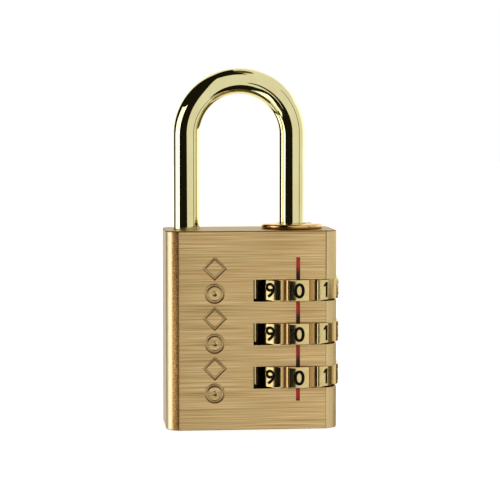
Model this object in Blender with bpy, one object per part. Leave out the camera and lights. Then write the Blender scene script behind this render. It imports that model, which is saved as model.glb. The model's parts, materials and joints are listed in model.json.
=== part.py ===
"""Three-wheel combination padlock, built as its separate pieces.

The frame: +Z up, the origin at the centre of the body's bottom face, -Y the numbered front, and +X the
side where the number wheels show. The shackle's long heel leg runs down through the three wheels. It has
one fin for each wheel. A fin can only rise through the gate in its sleeve when the wheel shows its number.
"""

import math

import bmesh
import bpy
from mathutils import Matrix

# Body: a block of bar with rounded upright corners.
BODY_WIDTH = 0.0300
BODY_DEPTH = 0.0145
BODY_HEIGHT = 0.03475
CORNER_RADIUS = 0.0023
CORNER_STEPS = 6

# Shackle: a round bar bent into a half circle, offset to the left of the body's middle.
AXIS_X = 0.0077
LEG_SPACING = 0.0187
SHACKLE_DIAMETER = 0.00455
CLEAR_HEIGHT = 0.0237
TOE_INSERTION = 0.0057
SHACKLE_SIDES = 20
ARCH_STEPS = 22
END_CHAMFER = 0.0005

# Number wheels: ten flats with a groove between each two, one wheel to a slot.
WHEEL_PITCH = 0.0076
LOWEST_WHEEL_Z = 0.00915
WHEEL_NAMES = ("bottom", "middle", "top")
SLOT_HEIGHT = 0.0039
SLOT_END_RADIUS = 0.0105
WHEEL_THICKNESS = 0.0037
NUMBERS = 10
FLAT_APOTHEM = 0.00815
FLAT_HALF_WIDTH = 0.00194
GROOVE_FLOOR_RADIUS = 0.0078
GROOVE_FLOOR_HALF_WIDTH = 0.0004
WHEEL_TURN = math.radians(2.0)

# Play between pieces that fit in each other.
PLAY = 0.0003

# Gate sleeves, one inside each wheel, and the fins on the heel leg that they stop.
BORE_RADIUS = 0.0051
BORE_FLOOR_Z = 0.0030
FIN_RADIUS = 0.0031
FIN_WIDTH = 0.0012
FIN_HEIGHT = 0.0016
FIN_TOP_OFFSET = 0.0006
SLEEVE_HALF_HEIGHT = 0.0029
SLEEVE_RADIUS = 0.00445
KEY_RADIUS = 0.0048
KEY_WIDTH = 0.0014
KEY_HEIGHT = 0.0020
HEEL_END_Z = 0.0064

# Collar bushing that closes the bore round the heel leg.
COLLAR_RADIUS = 0.00548
COLLAR_THICKNESS = 0.0009
COLLAR_ROUND = 0.00025
BUSHING_DEPTH = 0.0019
KEYWAY_RADIUS = 0.0035
KEYWAY_WIDTH = 0.0018

# Red index line, a shallow groove down the front.
INDEX_X = 0.0079
INDEX_WIDTH = 0.0007
INDEX_GROOVE_DEPTH = 0.00025
INDEX_TOP_Z = 0.0301
INDEX_BOTTOM_Z = 0.0050

# Detents: a sprung plunger in a blind hole at the left end of each slot.
PLUNGER_RADIUS = 0.00095
PLUNGER_LENGTH = 0.0042
PLUNGER_HOLE_END_X = -0.0090
DETENT_COIL_RADIUS = 0.00065
DETENT_WIRE_RADIUS = 0.00015
DETENT_TURNS = 5

# Shackle spring, standing on the bore's floor inside the hollow end of the heel leg.
SPRING_HOLE_RADIUS = 0.0016
SPRING_HOLE_DEPTH = 0.0130
SPRING_COIL_RADIUS = 0.00105
SPRING_WIRE_RADIUS = 0.0002
SPRING_TURNS = 11

# Wave spring under the sleeves, which lifts them back after the code is changed.
SEAT_HEIGHT = 0.0013
WAVE_INNER_RADIUS = 0.0035
WAVE_THICKNESS = 0.0003
WAVE_SWING = 0.00033
WAVES = 3
WAVE_STEPS = 36

ROUND_SIDES = 40
SMALL_SIDES = 16
COIL_STEPS = 10
WIRE_SIDES = 5
OVERCUT = 0.002
SMOOTH_ANGLE = math.radians(35)

LEG_RADIUS = SHACKLE_DIAMETER / 2
LEG_HOLE_RADIUS = LEG_RADIUS + PLAY
POCKET_RADIUS = FIN_RADIUS + PLAY
ARCH_RADIUS = LEG_SPACING / 2
ARCH_Z = BODY_HEIGHT + CLEAR_HEIGHT - ARCH_RADIUS + LEG_RADIUS
WHEEL_HEIGHTS = [LOWEST_WHEEL_Z + i * WHEEL_PITCH for i in range(len(WHEEL_NAMES))]
BUSHING_FOOT_Z = BODY_HEIGHT - BUSHING_DEPTH


def clear_scene():
    for thing in list(bpy.data.objects):
        bpy.data.objects.remove(thing, do_unlink=True)


def make_material(name, colour, metallic, roughness):
    material = bpy.data.materials.new(name)
    material.use_nodes = True
    shader = material.node_tree.nodes["Principled BSDF"]
    shader.inputs["Base Color"].default_value = (*colour, 1.0)
    shader.inputs["Metallic"].default_value = metallic
    shader.inputs["Roughness"].default_value = roughness
    material.diffuse_color = (*colour, 1.0)
    return material


def make_object(name, bm, material, place=(0.0, 0.0, 0.0)):
    """Turn a bmesh, drawn about its own origin, into a smooth-shaded object at a place."""
    bmesh.ops.recalc_face_normals(bm, faces=bm.faces)
    if bm.calc_volume(signed=True) < 0:
        bmesh.ops.reverse_faces(bm, faces=bm.faces)
    mesh = bpy.data.meshes.new(name)
    bm.to_mesh(mesh)
    bm.free()
    mesh.shade_smooth()
    mesh.set_sharp_from_angle(angle=SMOOTH_ANGLE)
    if material:
        mesh.materials.append(material)
    thing = bpy.data.objects.new(name, mesh)
    thing.location = place
    bpy.context.scene.collection.objects.link(thing)
    return thing


def shape_with(target, tool, operation):
    """Cut a tool out of a piece, or join it on, and keep the tool as a hidden guide."""
    tool.hide_render = True
    tool.display_type = "WIRE"
    modifier = target.modifiers.new(tool.name, "BOOLEAN")
    modifier.operation = operation
    modifier.solver = "EXACT"
    modifier.object = tool


def cylinder(radius, low, high, sides=ROUND_SIDES):
    bm = bmesh.new()
    middle = Matrix.Translation((0.0, 0.0, (low + high) / 2))
    bmesh.ops.create_cone(
        bm, cap_ends=True, segments=sides, radius1=radius, radius2=radius, depth=high - low, matrix=middle
    )
    return bm


def block(low, high):
    bm = bmesh.new()
    size = [b - a for a, b in zip(low, high)]
    middle = [(a + b) / 2 for a, b in zip(low, high)]
    bmesh.ops.create_cube(bm, size=1.0, matrix=Matrix.Translation(middle) @ Matrix.Diagonal((*size, 1.0)))
    return bm


def turned(profile, sides=ROUND_SIDES):
    """Spin a closed outline of (radius, height) points once round Z; it may start and end on the axis."""
    bm = bmesh.new()
    points = [bm.verts.new((radius, 0.0, height)) for radius, height in profile]
    on_axis = profile[0][0] == 0.0
    pairs = zip(points, points[1:] if on_axis else points[1:] + points[:1])
    edges = [bm.edges.new(pair) for pair in pairs]
    bmesh.ops.spin(
        bm,
        geom=points + edges,
        axis=(0, 0, 1),
        cent=(0, 0, 0),
        angle=math.tau,
        steps=sides,
        use_merge=True,
        use_duplicate=False,
    )
    bmesh.ops.remove_doubles(bm, verts=bm.verts, dist=1e-7)
    return bm


def ring(inner, outer, low, high):
    return turned([(inner, low), (outer, low), (outer, high), (inner, high)])


def coil(radius, wire_radius, turns, length):
    """A helical wire standing on the XY plane, with its two ends closed."""
    bm = bmesh.new()
    steps = turns * COIL_STEPS
    rise = length - 2 * wire_radius
    lean = math.atan2(rise / turns, math.tau * radius)
    last = None
    for i in range(steps + 1):
        along = i / steps
        place = (
            Matrix.Rotation(math.tau * turns * along, 4, "Z")
            @ Matrix.Translation((radius, 0.0, wire_radius + rise * along))
            @ Matrix.Rotation(math.pi / 2 + lean, 4, "X")
        )
        loop = bmesh.ops.create_circle(
            bm, cap_ends=i in (0, steps), segments=WIRE_SIDES, radius=wire_radius, matrix=place
        )["verts"]
        if last:
            for k, vert in enumerate(loop):
                bm.faces.new((last[k - 1], last[k], vert, loop[k - 1]))
        last = loop
    return bm


def build_body(material):
    bm = block(
        (-BODY_WIDTH / 2, -BODY_DEPTH / 2, 0.0),
        (BODY_WIDTH / 2, BODY_DEPTH / 2, BODY_HEIGHT),
    )
    upright = [e for e in bm.edges if abs(e.verts[0].co.z - e.verts[1].co.z) > BODY_HEIGHT / 2]
    bmesh.ops.bevel(
        bm, geom=upright, offset=CORNER_RADIUS, segments=CORNER_STEPS, profile=0.5, affect="EDGES", material=-1
    )
    body = make_object("body", bm, material)

    def cut(name, shape, place):
        shape_with(body, make_object(name, shape, None, place), "DIFFERENCE")

    over = BODY_HEIGHT + OVERCUT
    cut("heel_bore_cut", cylinder(BORE_RADIUS, BORE_FLOOR_Z, over), (AXIS_X, 0, 0))
    toe_floor = BODY_HEIGHT - TOE_INSERTION - 2 * PLAY
    cut("toe_hole_cut", cylinder(LEG_HOLE_RADIUS, toe_floor, over), (AXIS_X - LEG_SPACING, 0, 0))
    front = -BODY_DEPTH / 2
    groove = block(
        (INDEX_X - INDEX_WIDTH / 2, front - OVERCUT, INDEX_BOTTOM_Z),
        (INDEX_X + INDEX_WIDTH / 2, front + INDEX_GROOVE_DEPTH, INDEX_TOP_Z),
    )
    cut("index_groove_cut", groove, (0, 0, 0))
    for name, height in zip(WHEEL_NAMES, WHEEL_HEIGHTS):
        slot = cylinder(SLOT_END_RADIUS, -SLOT_HEIGHT / 2, SLOT_HEIGHT / 2, 2 * ROUND_SIDES)
        cut(f"slot_cut_{name}", slot, (AXIS_X, 0, height))
        hole = cylinder(PLUNGER_RADIUS + PLAY, PLUNGER_HOLE_END_X, 0.0, SMALL_SIDES)
        hole.transform(Matrix.Rotation(math.pi / 2, 4, "Y"))
        cut(f"plunger_hole_cut_{name}", hole, (0, 0, height))


def build_shackle(material):
    """The bent bar, with three fins on the heel leg and a spring hole up its end."""
    bm = bmesh.new()
    heel = Matrix.Translation((0.0, 0.0, ARCH_Z))
    first = bmesh.ops.create_circle(bm, segments=SHACKLE_SIDES, radius=LEG_RADIUS, matrix=heel)["verts"]
    start = list(bm.edges)
    arch = bmesh.ops.spin(
        bm,
        geom=first + start,
        axis=(0, -1, 0),
        cent=(-ARCH_RADIUS, 0, ARCH_Z),
        angle=math.pi,
        steps=ARCH_STEPS,
        use_duplicate=False,
    )["geom_last"]
    ends = (
        (start, 0.0, HEEL_END_Z),
        ([e for e in arch if isinstance(e, bmesh.types.BMEdge)], -LEG_SPACING, BODY_HEIGHT - TOE_INSERTION),
    )
    for edges, middle_x, end_z in ends:
        for level, radius in ((end_z + END_CHAMFER, LEG_RADIUS), (end_z, LEG_RADIUS - END_CHAMFER)):
            grown = bmesh.ops.extrude_edge_only(bm, edges=edges)["geom"]
            edges = [e for e in grown if isinstance(e, bmesh.types.BMEdge)]
            moved = [v for v in grown if isinstance(v, bmesh.types.BMVert)]
            for vert in moved:
                vert.co.x = middle_x + (vert.co.x - middle_x) * radius / LEG_RADIUS
                vert.co.y *= radius / LEG_RADIUS
                vert.co.z = level
    bmesh.ops.holes_fill(bm, edges=bm.edges)
    shackle = make_object("shackle", bm, material, (AXIS_X, 0, 0))
    for name, height in zip(WHEEL_NAMES, WHEEL_HEIGHTS):
        top = height + FIN_TOP_OFFSET
        fin = block(
            (-FIN_RADIUS, -FIN_WIDTH / 2, top - FIN_HEIGHT),
            (-LEG_RADIUS / 2 - SPRING_HOLE_RADIUS / 2, FIN_WIDTH / 2, top),
        )
        shape_with(shackle, make_object(f"fin_{name}", fin, material, (AXIS_X, 0, 0)), "UNION")
    hole = cylinder(SPRING_HOLE_RADIUS, HEEL_END_Z - OVERCUT, HEEL_END_Z + SPRING_HOLE_DEPTH, SHACKLE_SIDES)
    shape_with(shackle, make_object("spring_hole_cut", hole, None, (AXIS_X, 0, 0)), "DIFFERENCE")


def build_collar_bushing(material):
    """A flanged bushing with a keyway, slid over the fins and then turned half round and pressed in."""
    barrel = BORE_RADIUS - PLAY
    face = BODY_HEIGHT + PLAY
    top = BODY_HEIGHT + COLLAR_THICKNESS
    bm = turned(
        [
            (LEG_HOLE_RADIUS, BUSHING_FOOT_Z),
            (barrel, BUSHING_FOOT_Z),
            (barrel, face),
            (COLLAR_RADIUS, face),
            (COLLAR_RADIUS, top - COLLAR_ROUND),
            (COLLAR_RADIUS - COLLAR_ROUND, top),
            (LEG_HOLE_RADIUS, top),
        ]
    )
    bushing = make_object("collar_bushing", bm, material, (AXIS_X, 0, 0))
    keyway = block(
        (LEG_RADIUS, -KEYWAY_WIDTH / 2, BUSHING_FOOT_Z - OVERCUT),
        (KEYWAY_RADIUS, KEYWAY_WIDTH / 2, top + OVERCUT),
    )
    shape_with(bushing, make_object("keyway_cut", keyway, None, (AXIS_X, 0, 0)), "DIFFERENCE")


def wheel_outline(bm, number_points):
    """A closed loop made of one number's worth of points, repeated ten times round the axis."""
    step = math.tau / NUMBERS
    points = []
    for number in range(NUMBERS):
        turn = Matrix.Rotation(number * step, 4, "Z")
        points += [bm.verts.new(turn @ Matrix.Translation(point).translation) for point in number_points]
    return [bm.edges.new(pair) for pair in zip(points, points[1:] + points[:1])]


def build_number_wheel(name, height, material):
    """A grooved ring with ten flats outside and ten notches inside, which take the sleeve's key."""
    bm = bmesh.new()
    half_step = math.pi / NUMBERS
    floor_angle = half_step - GROOVE_FLOOR_HALF_WIDTH / GROOVE_FLOOR_RADIUS
    floor = [
        (GROOVE_FLOOR_RADIUS * math.cos(side * floor_angle), GROOVE_FLOOR_RADIUS * math.sin(side * floor_angle))
        for side in (-1, 1)
    ]
    outer = [
        (*floor[0], 0.0),
        (FLAT_APOTHEM, -FLAT_HALF_WIDTH, 0.0),
        (FLAT_APOTHEM, FLAT_HALF_WIDTH, 0.0),
        (*floor[1], 0.0),
    ]
    bore = KEY_RADIUS - PLAY / 6
    notch_half = KEY_WIDTH / 2 + PLAY
    step_angle = math.asin(notch_half / bore)
    inner = [
        (bore * math.cos(step_angle), -notch_half, 0.0),
        (bore + 2 * PLAY, -notch_half, 0.0),
        (bore + 2 * PLAY, notch_half, 0.0),
        (bore * math.cos(step_angle), notch_half, 0.0),
    ]
    loops = wheel_outline(bm, outer) + wheel_outline(bm, inner)
    bmesh.ops.bridge_loops(bm, edges=loops)
    grown = bmesh.ops.extrude_face_region(bm, geom=bm.faces[:])["geom"]
    top = [v for v in grown if isinstance(v, bmesh.types.BMVert)]
    bmesh.ops.translate(bm, vec=(0, 0, WHEEL_THICKNESS), verts=top)
    bmesh.ops.translate(bm, vec=(0, 0, -WHEEL_THICKNESS / 2), verts=bm.verts)
    face_front = Matrix.Rotation(WHEEL_TURN - math.pi / 2, 4, "Z")
    bm.transform(face_front)
    make_object(f"number_wheel_{name}", bm, material, (AXIS_X, 0, height))


def build_gate_sleeve(name, height, material):
    """A sleeve whose web has one gate for the fin, over a pocket where the fin is free to turn."""
    low = -SLEEVE_HALF_HEIGHT
    web = FIN_TOP_OFFSET + PLAY
    bm = turned(
        [
            (POCKET_RADIUS, low),
            (SLEEVE_RADIUS, low),
            (SLEEVE_RADIUS, SLEEVE_HALF_HEIGHT),
            (LEG_HOLE_RADIUS, SLEEVE_HALF_HEIGHT),
            (LEG_HOLE_RADIUS, web),
            (POCKET_RADIUS, web),
        ]
    )
    place = (AXIS_X, 0, height)
    sleeve = make_object(f"gate_sleeve_{name}", bm, material, place)
    gate_half = FIN_WIDTH / 2 + PLAY
    gate = block((-POCKET_RADIUS, -gate_half, 0.0), (-LEG_RADIUS, gate_half, SLEEVE_HALF_HEIGHT + OVERCUT))
    shape_with(sleeve, make_object(f"gate_cut_{name}", gate, None, place), "DIFFERENCE")
    key = block(
        (-KEY_RADIUS, -KEY_WIDTH / 2, -KEY_HEIGHT / 2), (-SLEEVE_RADIUS + PLAY, KEY_WIDTH / 2, KEY_HEIGHT / 2)
    )
    key.transform(Matrix.Rotation(WHEEL_TURN + math.pi / NUMBERS, 4, "Z"))
    shape_with(sleeve, make_object(f"drive_key_{name}", key, material, place), "UNION")


def build_spacers(material):
    """Rings and tubes that keep the three sleeves at the wheels' heights inside the bore."""
    inner, outer = POCKET_RADIUS, BORE_RADIUS - PLAY
    reach = SLEEVE_HALF_HEIGHT + PLAY
    spans = {
        "seat_ring": (BORE_FLOOR_Z + PLAY, BORE_FLOOR_Z + PLAY + SEAT_HEIGHT),
        "lower_spacer_ring": (WHEEL_HEIGHTS[0] + reach, WHEEL_HEIGHTS[1] - reach),
        "upper_spacer_ring": (WHEEL_HEIGHTS[1] + reach, WHEEL_HEIGHTS[2] - reach),
        "top_spacer_tube": (WHEEL_HEIGHTS[2] + reach, BUSHING_FOOT_Z - PLAY),
    }
    for name, (low, high) in spans.items():
        make_object(name, ring(inner, outer, low, high), material, (AXIS_X, 0, 0))


def build_wave_spring(material):
    """A flat ring bent into three waves, between the seat ring and the lowest sleeve."""
    low = BORE_FLOOR_Z + SEAT_HEIGHT + 2 * PLAY
    bm = bmesh.new()
    corners = (
        (WAVE_INNER_RADIUS, 0.0),
        (BORE_RADIUS - PLAY, 0.0),
        (BORE_RADIUS - PLAY, WAVE_THICKNESS),
        (WAVE_INNER_RADIUS, WAVE_THICKNESS),
    )
    loops = []
    for i in range(WAVE_STEPS):
        angle = math.tau * i / WAVE_STEPS
        lift = low + WAVE_SWING * (1 + math.sin(WAVES * angle))
        loops.append([bm.verts.new((r * math.cos(angle), r * math.sin(angle), lift + z)) for r, z in corners])
    for last, loop in zip(loops[-1:] + loops[:-1], loops):
        for k in range(len(corners)):
            bm.faces.new((last[k - 1], last[k], loop[k], loop[k - 1]))
    make_object("code_change_wave_spring", bm, material, (AXIS_X, 0, 0))


def build_detents(name, height, steel):
    """A round-nosed plunger, shown pushed back clear of the wheel's rim, and the coil behind it."""
    corner = math.hypot(FLAT_APOTHEM, FLAT_HALF_WIDTH)
    tip_x = AXIS_X - corner - PLAY / 2
    nose = [math.radians(angle) for angle in (0, 30, 60, 90)]
    profile = [(PLUNGER_RADIUS * math.sin(a), -PLUNGER_RADIUS * (1 - math.cos(a))) for a in nose]
    bm = turned(profile + [(PLUNGER_RADIUS, -PLUNGER_LENGTH), (0.0, -PLUNGER_LENGTH)], SMALL_SIDES)
    bm.transform(Matrix.Rotation(math.pi / 2, 4, "Y"))
    make_object(f"detent_plunger_{name}", bm, steel, (tip_x, 0, height))
    spring_start = PLUNGER_HOLE_END_X + PLAY
    length = tip_x - PLUNGER_LENGTH - PLAY - spring_start
    bm = coil(DETENT_COIL_RADIUS, DETENT_WIRE_RADIUS, DETENT_TURNS, length)
    bm.transform(Matrix.Rotation(math.pi / 2, 4, "Y"))
    make_object(f"detent_spring_{name}", bm, steel, (spring_start, 0, height))


def build_shackle_spring(steel):
    length = HEEL_END_Z + SPRING_HOLE_DEPTH - BORE_FLOOR_Z - 2 * PLAY
    bm = coil(SPRING_COIL_RADIUS, SPRING_WIRE_RADIUS, SPRING_TURNS, length)
    make_object("shackle_spring", bm, steel, (AXIS_X, 0, BORE_FLOOR_Z + PLAY))


def main():
    clear_scene()
    brushed = make_material("brushed_brass", (0.60, 0.43, 0.17), 1.0, 0.38)
    polished = make_material("polished_brass", (0.72, 0.55, 0.25), 1.0, 0.18)
    plated = make_material("brass_plated_steel", (0.80, 0.74, 0.48), 1.0, 0.08)
    plain = make_material("turned_brass", (0.60, 0.45, 0.20), 1.0, 0.45)
    steel = make_material("spring_steel", (0.45, 0.45, 0.46), 1.0, 0.30)
    build_body(brushed)
    build_shackle(plated)
    build_collar_bushing(polished)
    build_spacers(plain)
    build_wave_spring(steel)
    build_shackle_spring(steel)
    for name, height in zip(WHEEL_NAMES, WHEEL_HEIGHTS):
        build_number_wheel(name, height, polished)
        build_gate_sleeve(name, height, plain)
        build_detents(name, height, steel)


main()
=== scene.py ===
# %% [markdown]
# # A three-wheel combination padlock
# The lock is a block of brass with three slots milled in from its right side. A number wheel turns in each
# slot, and the long leg of a plated steel shackle runs down through all three. Everything here is placed
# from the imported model, which holds the sizes, the joints and the solids that the lock moves with.

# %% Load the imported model
import json
import math

import bmesh
import bpy
from mathutils import Matrix, Vector


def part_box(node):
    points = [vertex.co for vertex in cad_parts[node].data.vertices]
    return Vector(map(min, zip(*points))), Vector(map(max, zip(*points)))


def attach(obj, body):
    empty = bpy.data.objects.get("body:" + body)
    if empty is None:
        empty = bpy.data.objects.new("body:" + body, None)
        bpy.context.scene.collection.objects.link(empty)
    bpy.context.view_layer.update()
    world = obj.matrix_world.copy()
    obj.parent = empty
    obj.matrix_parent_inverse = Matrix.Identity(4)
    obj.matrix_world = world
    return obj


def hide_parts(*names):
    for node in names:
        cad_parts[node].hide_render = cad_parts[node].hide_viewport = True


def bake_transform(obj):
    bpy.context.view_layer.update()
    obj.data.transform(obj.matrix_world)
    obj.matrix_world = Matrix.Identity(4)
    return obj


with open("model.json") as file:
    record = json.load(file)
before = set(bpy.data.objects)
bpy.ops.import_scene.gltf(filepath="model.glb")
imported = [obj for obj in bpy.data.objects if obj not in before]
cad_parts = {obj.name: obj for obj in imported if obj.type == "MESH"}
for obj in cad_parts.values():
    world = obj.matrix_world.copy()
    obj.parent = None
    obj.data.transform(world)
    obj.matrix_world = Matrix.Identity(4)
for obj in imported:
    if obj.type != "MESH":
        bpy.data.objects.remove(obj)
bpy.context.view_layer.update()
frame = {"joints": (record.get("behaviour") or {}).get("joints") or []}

# %% [markdown]
# ## Sizes
# The model says how big the block is, where the wheels turn and how thick the bar is. Small things that
# only the eye sees, such as broken edges and strokes, are given here in millimetres beside the step that
# uses them.

# %% Read the main sizes
MM = 0.001
body_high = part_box("body")[1]
bar_low, bar_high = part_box("shackle")
collar_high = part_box("collar_bushing")[1]
half_width = body_high.x
half_depth = body_high.y
top_z = body_high.z
joints = {joint["name"]: joint for joint in frame["joints"]}
wheel_names = ("top", "middle", "bottom")
axis_x = joints["turn_top_wheel"]["pos_m"][0]
wheel_z = {name: joints[f"turn_{name}_wheel"]["pos_m"][2] for name in wheel_names}
bar_radius = bar_high.y
toe_x = bar_low.x + bar_radius
arch_radius = (axis_x - toe_x) / 2
arch_z = bar_high.z - bar_radius - arch_radius
print(f"body {2000 * half_width:.1f} x {2000 * half_depth:.1f} x {1000 * top_z:.2f} mm")
print(f"bar {2000 * bar_radius:.2f} mm thick, legs {2000 * arch_radius:.1f} mm apart")

# %% [markdown]
# ## Helpers for pieces
# Each piece is shaped in a bmesh, sometimes cut with Booleans, and then finished the same way: its faces
# are turned outwards, edges sharper than a set angle stay crisp, and the flat faces keep flat shading up
# to their rounded edges. It then rides on the body that carries it.

# %% Make, cut and finish pieces
SHARP = math.radians(32)


def picked(geometry, kind):
    """The faces, edges or corners among what an operator gives back."""
    return [item for item in geometry if isinstance(item, kind)]


def into_mesh(bm, name="tool"):
    bmesh.ops.remove_doubles(bm, verts=bm.verts, dist=1e-7)
    bmesh.ops.recalc_face_normals(bm, faces=bm.faces)
    if bm.calc_volume(signed=True) < 0:
        bmesh.ops.reverse_faces(bm, faces=bm.faces)
    mesh = bpy.data.meshes.new(name)
    bm.to_mesh(mesh)
    bm.free()
    return mesh


def as_seen(piece):
    """The mesh that a piece shows once its modifiers or its curve settings are worked out."""
    graph = bpy.context.evaluated_depsgraph_get()
    return bpy.data.meshes.new_from_object(piece.evaluated_get(graph))


def carve(mesh, tools, operation="DIFFERENCE", crossing=False):
    """Cut tool meshes out of a mesh one after another, or join them to it.

    crossing is for tools whose own walls cross each other in places, as a bevelled figure's do.
    """
    blank = bpy.data.objects.new("blank", mesh)
    bpy.context.scene.collection.objects.link(blank)
    helpers = []
    for tool in tools:
        helper = bpy.data.objects.new("tool", tool)
        bpy.context.scene.collection.objects.link(helper)
        cut = blank.modifiers.new("cut", "BOOLEAN")
        cut.operation = operation
        cut.solver = "EXACT"
        cut.use_self = crossing
        cut.object = helper
        helpers.append(helper)
    shaped = as_seen(blank)
    for helper in helpers + [blank]:
        bpy.data.objects.remove(helper)
    return shaped


def break_edges(mesh, width):
    """Round every sharp edge a little, as a file or a tumbling barrel does."""
    bm = bmesh.new()
    bm.from_mesh(mesh)
    bmesh.ops.dissolve_limit(bm, angle_limit=math.radians(0.5), verts=bm.verts, edges=bm.edges)
    sharp = [e for e in bm.edges if e.is_manifold and e.calc_face_angle(0) > SHARP]
    bmesh.ops.bevel(
        bm, geom=sharp, offset=width, segments=2, profile=0.5, affect="EDGES", clamp_overlap=True,
        material=-1,
    )
    return into_mesh(bm)


def finish(name, mesh, material, body, stands_for=()):
    """Place a finished piece; body is None for a piece that is left on no body."""
    mesh.name = name
    mesh.materials.clear()
    mesh.materials.append(material)
    mesh.shade_smooth()
    mesh.set_sharp_from_angle(angle=SHARP)
    piece = bpy.data.objects.new(name, mesh)
    bpy.context.scene.collection.objects.link(piece)
    weighted = piece.modifiers.new("even shading", "WEIGHTED_NORMAL")
    weighted.keep_sharp = True
    if body:
        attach(piece, body)
    if stands_for:
        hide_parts(*stands_for)
    print(f"{name}: {len(mesh.polygons)} faces on {body or 'two bodies'}")
    return piece


# %% [markdown]
# ## Shapes that come up again
# A cylinder is a create_cone with equal ends. Anything turned on a lathe starts as half its section, drawn
# as a few points, and is spun once round. A coil spring is a small circle that is spun in short steps
# while each step also climbs.

# %% Cylinders, turned shapes and coils
def rod(radius, low, high, sides=96):
    bm = bmesh.new()
    place = Matrix.Translation((0, 0, (low + high) / 2))
    bmesh.ops.create_cone(
        bm, cap_ends=True, segments=sides, radius1=radius, radius2=radius, depth=high - low, matrix=place
    )
    return bm


def block(low, high):
    bm = bmesh.new()
    low, high = Vector(low), Vector(high)
    place = Matrix.Translation((low + high) / 2) @ Matrix.Diagonal((*(high - low), 1.0))
    bmesh.ops.create_cube(bm, size=1.0, matrix=place)
    return bm


def turned(section, sides):
    """Spin a closed section of (radius, height) points round the upright axis."""
    bm = bmesh.new()
    points = [bm.verts.new((radius, 0.0, height)) for radius, height in section]
    touches_axis = section[0][0] == 0.0
    ends = points[1:] if touches_axis else points[1:] + points[:1]
    edges = [bm.edges.new(pair) for pair in zip(points, ends)]
    bmesh.ops.spin(
        bm, geom=points + edges, axis=(0, 0, 1), cent=(0, 0, 0), angle=math.tau, steps=sides, use_merge=True
    )
    return bm


def coil(radius, wire, turns, length, steps=36, sides=12):
    """A wire that climbs as it turns, standing on the ground plane."""
    bm = bmesh.new()
    start = Matrix.Translation((radius, 0, wire)) @ Matrix.Rotation(math.pi / 2, 4, "X")
    bmesh.ops.create_circle(bm, cap_ends=True, segments=sides, radius=wire, matrix=start)
    face = bm.faces[:][0]
    climb = (length - 2 * wire) / (turns * steps)
    step = Matrix.Translation((0, 0, climb)) @ Matrix.Rotation(math.tau / steps, 4, "Z")
    for _ in range(turns * steps):
        grown = bmesh.ops.extrude_face_region(bm, geom=[face, *face.edges])["geom"]
        face = picked(grown, bmesh.types.BMFace)[0]
        bmesh.ops.transform(bm, matrix=step, verts=face.verts)
    return bm


def moved(bm, *place, turn=None):
    """The same bmesh, turned if asked and then carried to its place, as a tool mesh."""
    bm.transform(Matrix.Translation(place) @ (turn or Matrix.Identity(4)))
    return into_mesh(bm)


# %% [markdown]
# ## Helpers for materials
# Colours are written as sRGB hex, as they are picked, and turned to the linear values that shading works
# in. One helper adds a node, sets it and links it. Every pattern reads Object coordinates, whose unit is
# the metre, so a pattern that repeats each 0.2 mm has a scale of 1 / 0.0002.

# %% Colours and nodes
def linear(code):
    parts = [int(code[i : i + 2], 16) / 255 for i in (1, 3, 5)]
    return tuple(c / 12.92 if c <= 0.04045 else ((c + 0.055) / 1.055) ** 2.4 for c in parts) + (1.0,)


def join(tree, socket, value):
    """Set a socket to a plain value, or link it to a node or to one of a node's outputs."""
    if isinstance(value, bpy.types.Node):
        value = next(output for output in value.outputs if output.enabled)
    if isinstance(value, bpy.types.NodeSocket):
        tree.links.new(value, socket)
    else:
        socket.default_value = value


def add(tree, kind, inputs=None, **settings):
    """Add a node with its settings, then set or link its inputs."""
    node = tree.nodes.new(kind)
    for key, value in settings.items():
        setattr(node, key, value)
    for key, value in (inputs or {}).items():
        join(tree, node.inputs[key], value)
    return node


print("a middle grey is", round(linear("#808080")[0], 3), "in linear light")

# %% [markdown]
# Every material here reads noise stretched to the size of its grain, lets two colours take turns in it,
# and ends with a colour, a roughness and a slight relief on one shader.

# %% Start, grain, mottling and surface
def start_material(name):
    material = bpy.data.materials.new(name)
    material.use_nodes = True
    tree = material.node_tree
    place = add(tree, "ShaderNodeTexCoord").outputs["Object"]
    return material, tree, place


def streaks(tree, place, size_mm, detail=3.0, rough=0.6):
    """Noise whose grain has the given size along x, y and z, in millimetres."""
    scale = [1 / (MM * size) for size in size_mm]
    stretched = add(tree, "ShaderNodeMapping", {"Vector": place, "Scale": scale})
    settings = {"Vector": stretched, "Scale": 1.0, "Detail": detail, "Roughness": rough}
    return add(tree, "ShaderNodeTexNoise", settings)


def mottled(tree, pattern, low, high, first, second):
    """One colour where a pattern is low and another where it is high."""
    share = add(tree, "ShaderNodeMapRange", {0: pattern, 1: low, 2: high})
    return add(tree, "ShaderNodeMix", {0: share, 6: linear(first), 7: linear(second)}, data_type="RGBA")


def surface(tree, colour, roughness, pattern, height_mm, strength=0.5, metal=1.0):
    """Colour and roughen the shader, and raise a pattern so many millimetres high on it."""
    relief = {"Height": pattern, "Distance": height_mm * MM, "Strength": strength}
    normal = add(tree, "ShaderNodeBump", relief)
    inputs = tree.nodes["Principled BSDF"].inputs
    join(tree, inputs["Base Color"], colour)
    join(tree, inputs["Roughness"], roughness)
    join(tree, inputs["Normal"], normal)
    join(tree, inputs["Metallic"], metal)


# %% [markdown]
# ## Brushed brass
# The block is free-cutting brass bar. Its long corners keep the satin skin of drawing, and its two broad
# faces are linished: a belt has left fine level scratches across them. The two skins share one material,
# told apart by how far a point lies from the middle of the block. A brown strip over the two left corners
# is a painted dark reflection of the black flag, and the left side with the outer edge of each left corner
# is painted paler, a painted highlight of the soft box.

# %% Linished and drawn skins
CORNER = 2.7 * MM
LINISHED_AWAY = 0.04 * MM
# Painted dark reflection: where the brown strip lies over the left corners, which mirror the black flag
# there.
DARK_REFLECTION_MIDDLE = 1.65 * MM - half_width
DARK_REFLECTION_REACH = 0.75 * MM
DARK_REFLECTION_RAGGED = 0.15 * MM
# Painted highlight: where the left side starts to be painted paler, as it mirrors the soft box.
HIGHLIGHT_FROM = 1.1 * MM - half_width
HIGHLIGHT_TO = 0.9 * MM - half_width


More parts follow.
